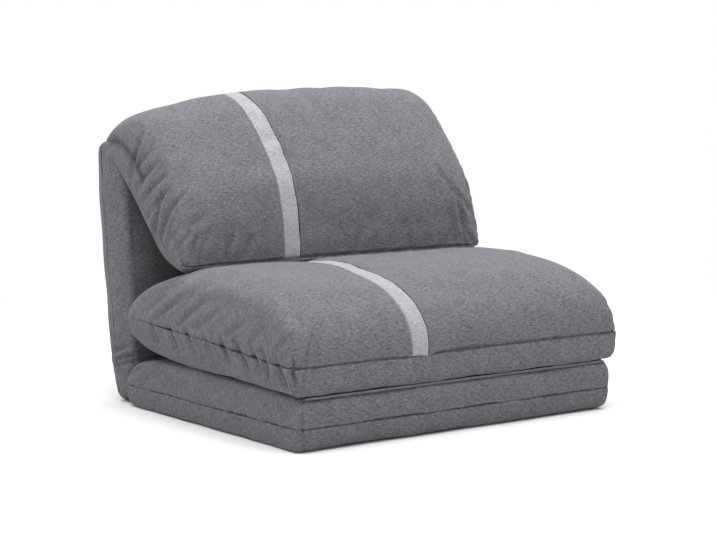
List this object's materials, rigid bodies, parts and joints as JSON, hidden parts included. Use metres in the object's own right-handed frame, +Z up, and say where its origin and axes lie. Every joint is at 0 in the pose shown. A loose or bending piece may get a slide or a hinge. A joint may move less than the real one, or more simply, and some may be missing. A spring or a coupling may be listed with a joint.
{
  "type": "convertible chair bed",
  "caption": "Low armless chair that unfolds to a single bed: base pad, seat pad folded on it at a sewn crease, reclining padded backrest and a large leaning pillow with a contrast stripe.",
  "frame": {"origin": "centre of the base pad's flat grip cloth, on the floor", "axes": "+Z up, -Y towards the front, X across the width"},
  "size_m": [0.794, 0.7533, 0.64],
  "materials": {
    "cover_fabric": "woven melange, matte",
    "stripe_fabric": "woven melange, matte",
    "grip_cloth": "dotted non-slip cloth",
    "foam": "open-cell foam",
    "wadding": "fibre wadding",
    "webbing": "elastic webbing",
    "frame_paint": "powder coat",
    "hinge_steel": "zinc plated",
    "zip_tape": "zip tape",
    "zip_metal": "painted"
  },
  "bodies": {
    "base": {"base_cover": "cover_fabric", "base_foam": "foam", "base_frame": "frame_paint", "base_webbing": "webbing", "grip_cloth": "grip_cloth", "crease_welt": "cover_fabric", "hinge_cheek_left": "hinge_steel", "hinge_cheek_right": "hinge_steel", "hinge_pins": "hinge_steel", "cheek_bolts": "hinge_steel"},
    "backrest": {"back_cover": "cover_fabric", "back_foam": "foam", "back_frame": "frame_paint", "back_webbing": "webbing", "ratchet_arm_left": "hinge_steel", "ratchet_arm_right": "hinge_steel", "arm_bolts": "hinge_steel", "pillow_flap": "cover_fabric"},
    "seat_pad": {"seat_cover": "cover_fabric", "seat_foam": "foam", "seat_wadding": "wadding", "seat_stripe": "stripe_fabric", "seat_zip": "zip_tape", "seat_zip_puller": "zip_metal"},
    "pillow": {"pillow_cover": "cover_fabric", "pillow_fill": "wadding", "pillow_stripe": "stripe_fabric", "pillow_zip": "zip_tape", "pillow_zip_puller": "zip_metal"},
    "pawl_left": {"pawl_left": "hinge_steel"},
    "pawl_right": {"pawl_right": "hinge_steel"}
  },
  "joints": [
    {"name": "seat_unfold", "type": "hinge", "parent": "base", "child": "seat_pad", "pos_m": [0, -0.341, 0.1], "axis": [1, 0, 0], "range_deg": [0, 180], "deforming": ["pillow_cover", "pillow_fill", "pillow_stripe", "pillow_zip", "pillow_zip_puller"]},
    {"name": "backrest_recline", "type": "hinge", "parent": "base", "child": "backrest", "pos_m": [0, 0.322, 0.034], "axis": [-1, 0, 0], "range_deg": [0, 83]},
    {"name": "pillow_flip", "type": "hinge", "parent": "backrest", "child": "pillow", "pos_m": [0, 0.38925, 0.54566], "axis": [-1, 0, 0], "range_deg": [0, 110]},
    {"name": "pawl_left_turn", "type": "hinge", "parent": "base", "child": "pawl_left", "pos_m": [-0.33925, 0.28838, 0.01877], "axis": [-1, 0, 0], "range_deg": [0, 10]},
    {"name": "pawl_right_turn", "type": "hinge", "parent": "base", "child": "pawl_right", "pos_m": [0.33925, 0.28838, 0.01877], "axis": [-1, 0, 0], "range_deg": [0, 10]}
  ],
  "couplings": [
    {"joint": "pawl_right_turn", "follows": "pawl_left_turn", "ratio": 1}
  ]
}
